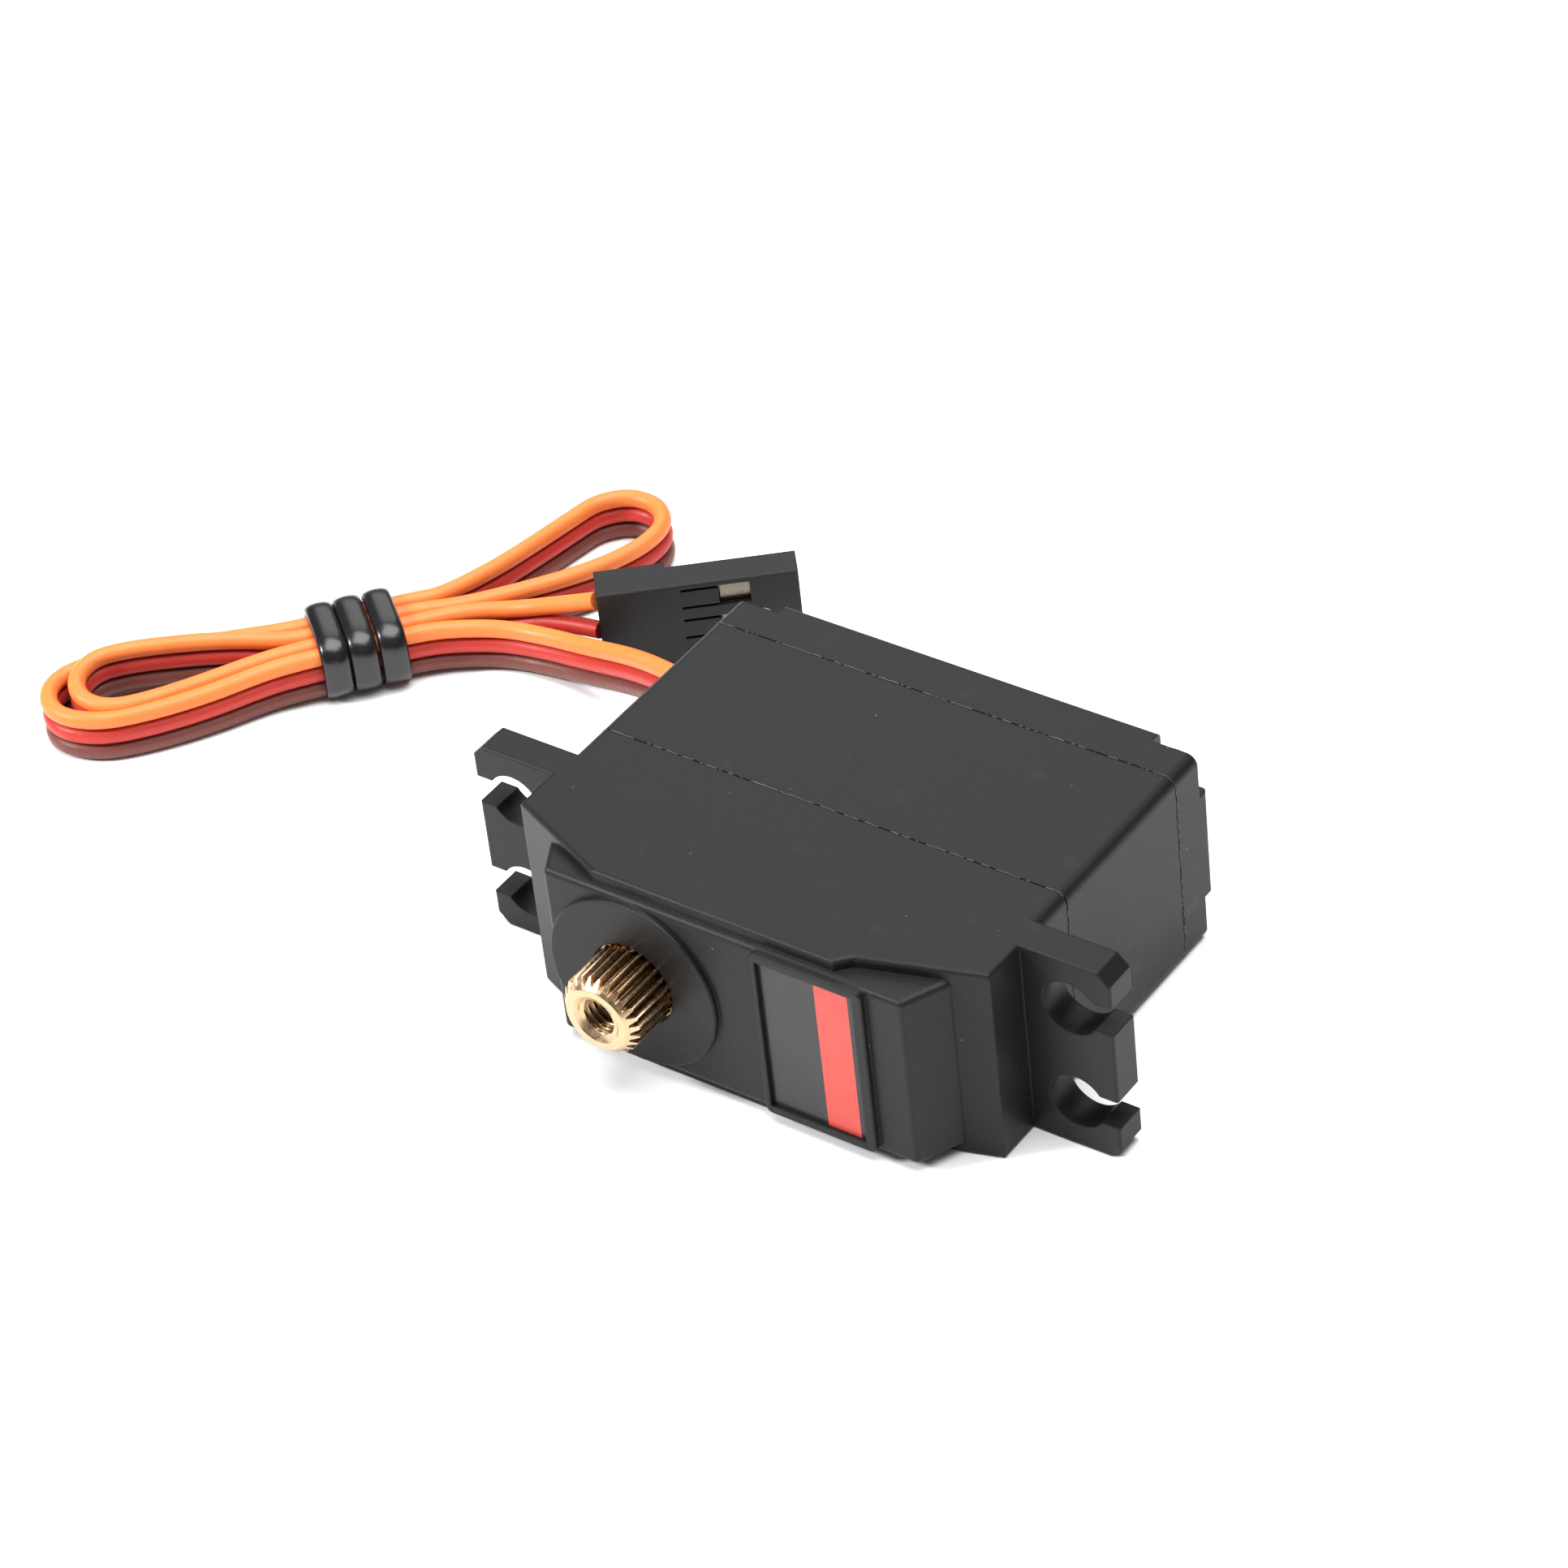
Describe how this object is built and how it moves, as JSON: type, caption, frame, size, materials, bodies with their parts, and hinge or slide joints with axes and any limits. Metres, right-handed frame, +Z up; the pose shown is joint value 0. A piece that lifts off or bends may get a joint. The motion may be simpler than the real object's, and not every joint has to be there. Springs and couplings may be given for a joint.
{
  "type": "servo motor",
  "caption": "Mini servo motor with slotted mounting ears, a brass splined output shaft and a folded, tied three-wire lead with a connector.",
  "frame": {"origin": "under the middle of the servo, on the surface that it lies on", "axes": "+X along the case away from the output shaft, -Y out of the output shaft, +Z up through the case's thickness"},
  "size_m": [0.0897, 0.0529, 0.015],
  "materials": {
    "case_plastic": "fine matt moulded",
    "label_gloss": "glossy film",
    "steel": "plain steel",
    "brass": "machined",
    "black_rubber": "soft matt",
    "tie_black": "glossy band",
    "magnet": "plated magnet",
    "copper": "copper",
    "black_plastic": "moulded",
    "brown_plastic": "moulded",
    "board_green": "solder resist",
    "wire_orange": "soft PVC",
    "wire_red": "soft PVC",
    "wire_brown": "soft PVC"
  },
  "bodies": {
    "case": {"top_case": "case_plastic", "middle_case": "case_plastic", "bottom_cover": "case_plastic", "front_label": "label_gloss", "case_screws": "steel", "wire_grommet": "black_rubber", "gear_pin": "steel", "output_bearing_outer": "steel", "motor_can": "steel", "motor_magnet": "magnet", "motor_end_cap": "black_plastic", "motor_bushings": "brass", "motor_terminals": "brass", "motor_brushes": "brass", "pot_housing": "black_plastic", "pot_base": "brown_plastic", "pot_track": "black_plastic", "pot_terminals": "steel", "circuit_board": "board_green", "controller_chip": "black_plastic", "driver_chips": "black_plastic", "board_capacitors": "brown_plastic", "solder_joints": "steel", "ground_wire_run": "wire_brown", "power_wire_run": "wire_red", "signal_wire_run": "wire_orange", "cable_hank": "wire_orange", "cable_tie": "tie_black", "ground_wire_tail": "wire_brown", "power_wire_tail": "wire_red", "signal_wire_tail": "wire_orange", "connector_housing": "black_plastic", "connector_contacts": "steel"},
    "rotor": {"rotor_shaft": "steel", "rotor_winding": "copper", "rotor_commutator": "copper", "motor_pinion": "brass"},
    "first_gear": {"first_gear_wheel": "brass", "first_gear_pinion": "steel"},
    "second_gear": {"second_gear_wheel": "brass", "second_gear_pinion": "steel"},
    "third_gear": {"third_gear_wheel": "brass", "third_gear_pinion": "steel"},
    "output": {"output_shaft": "brass", "output_gear": "brass", "output_bearing_inner": "steel", "pot_shaft": "steel", "pot_wiper": "brass"},
    "bearing_cage": {"output_bearing_cage": "steel", "output_bearing_balls": "steel"}
  },
  "joints": [
    {"name": "rotor_spin", "type": "hinge", "parent": "case", "child": "rotor", "pos_m": [0.00795, 0, 0.0075], "axis": [0, -1, 0], "range_deg": [-9484, 9484]},
    {"name": "first_gear_turn", "type": "hinge", "parent": "case", "child": "first_gear", "pos_m": [0.00095, 0, 0.0075], "axis": [0, -1, 0], "range_deg": [-2062, 2062]},
    {"name": "second_gear_turn", "type": "hinge", "parent": "case", "child": "second_gear", "pos_m": [-0.00685, 0, 0.0075], "axis": [0, -1, 0], "range_deg": [-688, 688]},
    {"name": "third_gear_turn", "type": "hinge", "parent": "case", "child": "third_gear", "pos_m": [0.00095, 0, 0.0075], "axis": [0, -1, 0], "range_deg": [-230, 230]},
    {"name": "output_turn", "type": "hinge", "parent": "case", "child": "output", "pos_m": [-0.00685, 0, 0.0075], "axis": [0, -1, 0], "range_deg": [-90, 90]},
    {"name": "bearing_cage_turn", "type": "hinge", "parent": "case", "child": "bearing_cage", "pos_m": [-0.00685, 0, 0.0075], "axis": [0, -1, 0], "range_deg": [-38.5, 38.5]}
  ],
  "couplings": [
    {"joint": "first_gear_turn", "follows": "rotor_spin", "ratio": -0.21739},
    {"joint": "second_gear_turn", "follows": "rotor_spin", "ratio": 0.072464},
    {"joint": "third_gear_turn", "follows": "rotor_spin", "ratio": -0.024155},
    {"joint": "output_turn", "follows": "rotor_spin", "ratio": 0.0094893},
    {"joint": "bearing_cage_turn", "follows": "rotor_spin", "ratio": 0.004033}
  ]
}
